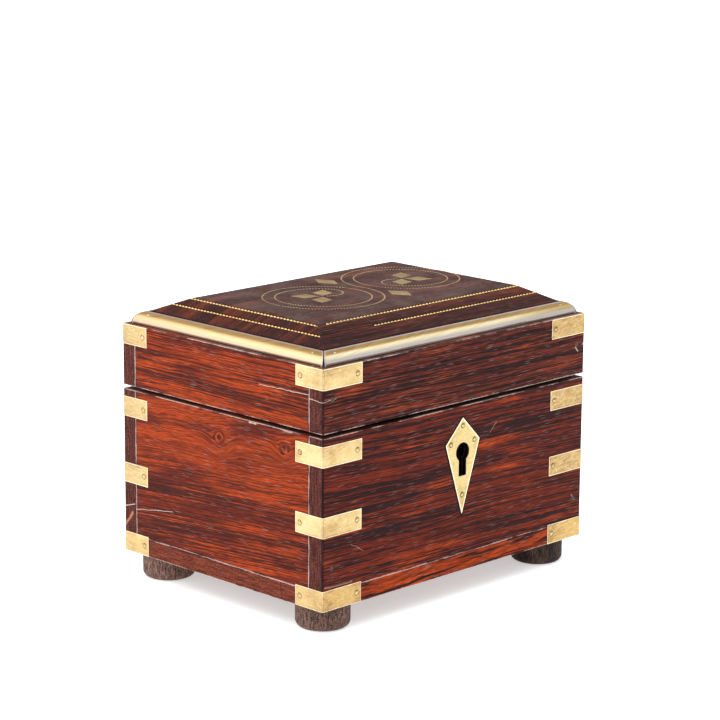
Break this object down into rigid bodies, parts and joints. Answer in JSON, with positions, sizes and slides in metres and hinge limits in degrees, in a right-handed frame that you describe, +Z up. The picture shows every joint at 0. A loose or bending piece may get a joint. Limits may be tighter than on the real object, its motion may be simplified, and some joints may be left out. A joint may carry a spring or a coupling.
{
  "type": "tea caddy",
  "caption": "Brass-bound hardwood tea caddy with a hinged bevelled lid, corner straps, kite escutcheon, box lock, bun feet and brass wire scroll inlay.",
  "frame": {"origin": "on the floor, under the centre of the box's footprint", "axes": "+Z up, the keyhole face looks towards -Y, +X is to the right of a person facing the keyhole"},
  "size_m": [0.2012, 0.1561, 0.155],
  "materials": {
    "side_wood": "waxed satin, dark red-brown with black streaks",
    "end_wood": "waxed satin, orange-red with dark streaks and knots",
    "bottom_wood": "waxed satin, orange-red edge, dark end grain",
    "top_wood": "polished satin, dark maroon-brown",
    "foot_wood": "dull, rough, grey-brown",
    "strap_brass": "worn satin, scratched, dark pits",
    "pin_brass": "worn, dark rims",
    "moulding_brass": "polished",
    "wire_brass": "twisted wire, bright",
    "inlay_brass": "dulled, flush",
    "hinge_brass": "satin",
    "lock_brass": "satin, tarnished",
    "nail_iron": "dark, filled over",
    "screw_steel": "dull"
  },
  "bodies": {
    "body": {"bottom_board": "bottom_wood", "front_board": "side_wood", "back_board": "side_wood", "left_end_board": "end_wood", "right_end_board": "end_wood", "foot_front_left": "foot_wood", "foot_front_right": "foot_wood", "foot_back_left": "foot_wood", "foot_back_right": "foot_wood", "strap_bottom_front_left": "strap_brass", "strap_bottom_front_right": "strap_brass", "strap_bottom_back_left": "strap_brass", "strap_bottom_back_right": "strap_brass", "strap_middle_front_left": "strap_brass", "strap_middle_front_right": "strap_brass", "strap_middle_back_left": "strap_brass", "strap_middle_back_right": "strap_brass", "strap_rim_front_left": "strap_brass", "strap_rim_front_right": "strap_brass", "strap_rim_back_left": "strap_brass", "strap_rim_back_right": "strap_brass", "body_strap_pins": "pin_brass", "body_nails": "nail_iron", "escutcheon": "strap_brass", "escutcheon_pins": "pin_brass", "lock_case": "lock_brass", "lock_cap": "lock_brass", "lock_screws": "screw_steel", "hinge_body_leaf_left": "hinge_brass", "hinge_body_leaf_right": "hinge_brass", "hinge_pins": "screw_steel", "hinge_body_screws": "screw_steel"},
    "lid": {"lid_front_board": "side_wood", "lid_back_board": "side_wood", "lid_left_end": "end_wood", "lid_right_end": "end_wood", "lid_top_panel": "top_wood", "strap_lid_front_left": "strap_brass", "strap_lid_front_right": "strap_brass", "strap_lid_back_left": "strap_brass", "strap_lid_back_right": "strap_brass", "lid_strap_pins": "pin_brass", "lid_nails": "nail_iron", "moulding_front": "moulding_brass", "moulding_back": "moulding_brass", "moulding_left": "moulding_brass", "moulding_right": "moulding_brass", "moulding_nails": "pin_brass", "border_wire_lower": "wire_brass", "border_wire_upper": "wire_brass", "scroll_line": "inlay_brass", "trefoil_diamonds": "inlay_brass", "lone_diamonds": "inlay_brass", "lock_staple": "lock_brass", "staple_screws": "screw_steel", "hinge_lid_leaf_left": "hinge_brass", "hinge_lid_leaf_right": "hinge_brass", "hinge_lid_screws": "screw_steel"},
    "bolt": {"lock_bolt": "lock_brass"}
  },
  "joints": [
    {"name": "lid_hinge", "type": "hinge", "parent": "body", "child": "lid", "pos_m": [0, 0.0765, 0.1053], "axis": [-1, 0, 0], "range_deg": [0, 100]},
    {"name": "lock_bolt_slide", "type": "slide", "parent": "body", "child": "bolt", "axis": [1, 0, 0], "range_m": [0, 0.009]}
  ]
}
